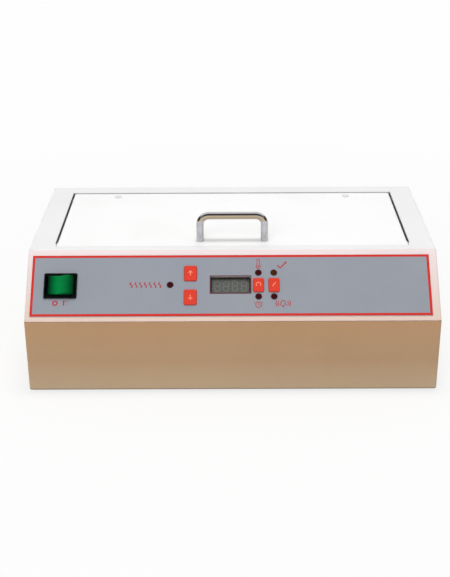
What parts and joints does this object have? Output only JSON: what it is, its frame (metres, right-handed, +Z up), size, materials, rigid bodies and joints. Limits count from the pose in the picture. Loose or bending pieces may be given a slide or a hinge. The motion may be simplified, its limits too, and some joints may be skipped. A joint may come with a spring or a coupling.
{
  "type": "dry heat sterilizer",
  "caption": "Bench-top dry heat sterilizer: low folded steel case, sloping control panel with display, keys and rocker switch, hinged insulated lid with a wire handle over a steel chamber.",
  "frame": {"origin": "on the bench, under the middle of the object's overall box", "axes": "+X to the right of someone facing the panel, +Y from the panel to the back, +Z up"},
  "size_m": [0.404, 0.24, 0.1602],
  "materials": {
    "case_tan": "satin powder coat",
    "case_white": "satin powder coat",
    "lid_white": "satin powder coat",
    "overlay_grey": "fine matt film",
    "window": "tinted, clear",
    "module_grey": "matt",
    "segments": "matt",
    "board_green": "solder mask",
    "part_black": "moulded",
    "relay_blue": "moulded",
    "terminal_green": "moulded",
    "bezel_black": "moulded",
    "rocker_green": "glossy, slightly see-through",
    "key_red": "satin",
    "lamp_maroon": "glossy lens",
    "lamp_amber": "glossy lens",
    "fastener": "zinc plated",
    "stainless": "fine brushed",
    "element": "heat tinted",
    "galvanised": "galvanised",
    "chrome": "polished",
    "bronze": "machined",
    "silicone": "matt silicone",
    "foot_rubber": "matt rubber",
    "wool": "fibrous",
    "ceramic": "unglazed"
  },
  "bodies": {
    "case": {"base_shell": "case_tan", "feet": "foot_rubber", "foot_screws": "fastener", "top_cover": "case_white", "cover_screws": "fastener", "control_overlay": "overlay_grey", "display_window": "window", "display_module": "module_grey", "display_segments": "segments", "control_board": "board_green", "board_spacers": "fastener", "board_screws": "fastener", "key_switches": "part_black", "buzzer": "part_black", "switch_housing": "bezel_black", "switch_blades": "bronze", "mains_inlet": "bezel_black", "inlet_pins": "bronze", "inlet_screws": "fastener", "chamber_tub": "stainless", "tub_clips": "galvanised", "chamber_gasket": "silicone", "heater_element": "element", "heater_bars": "galvanised", "heater_nuts": "fastener", "heater_collars": "ceramic", "thermal_cutout": "galvanised", "temperature_sensor": "stainless", "insulation_casing": "galvanised", "insulation_wool": "wool", "power_board": "board_green", "power_spacers": "fastener", "transformer": "part_black", "relay": "relay_blue", "terminal_block": "terminal_green", "hinge_pins": "fastener", "lamp_heating": "lamp_maroon", "lamp_temperature": "lamp_maroon", "lamp_timer": "lamp_maroon", "lamp_ready": "lamp_amber", "lamp_alarm": "lamp_maroon"},
    "lid": {"lid_skin": "lid_white", "lid_pan": "stainless", "lid_wool": "wool", "hinge_brackets": "galvanised", "hinge_bushes": "bronze", "hinge_rivets": "lid_white", "lid_handle": "chrome", "handle_screws": "fastener"},
    "rocker": {"switch_rocker": "rocker_green"},
    "key_up": {"key_up": "key_red"},
    "key_down": {"key_down": "key_red"},
    "key_select": {"key_select": "key_red"},
    "key_start": {"key_start": "key_red"}
  },
  "joints": [
    {"name": "lid_hinge", "type": "hinge", "parent": "case", "child": "lid", "pos_m": [0, 0.085, 0.125], "axis": [-1, 0, 0], "range_deg": [0, 100]},
    {"name": "mains_rocker", "type": "hinge", "parent": "case", "child": "rocker", "pos_m": [-0.1665, -0.09163, 0.10116], "axis": [0, 0.7203, 0.6936], "range_deg": [0, 20]},
    {"name": "key_up_press", "type": "slide", "parent": "case", "child": "key_up", "axis": [0, 0.6936, -0.7203], "range_m": [0, 0.0008], "stiffness_N_per_m": 400, "springref_m": -0.0005},
    {"name": "key_down_press", "type": "slide", "parent": "case", "child": "key_down", "axis": [0, 0.6936, -0.7203], "range_m": [0, 0.0008], "stiffness_N_per_m": 400, "springref_m": -0.0005},
    {"name": "key_select_press", "type": "slide", "parent": "case", "child": "key_select", "axis": [0, 0.6936, -0.7203], "range_m": [0, 0.0008], "stiffness_N_per_m": 400, "springref_m": -0.0005},
    {"name": "key_start_press", "type": "slide", "parent": "case", "child": "key_start", "axis": [0, 0.6936, -0.7203], "range_m": [0, 0.0008], "stiffness_N_per_m": 400, "springref_m": -0.0005}
  ]
}
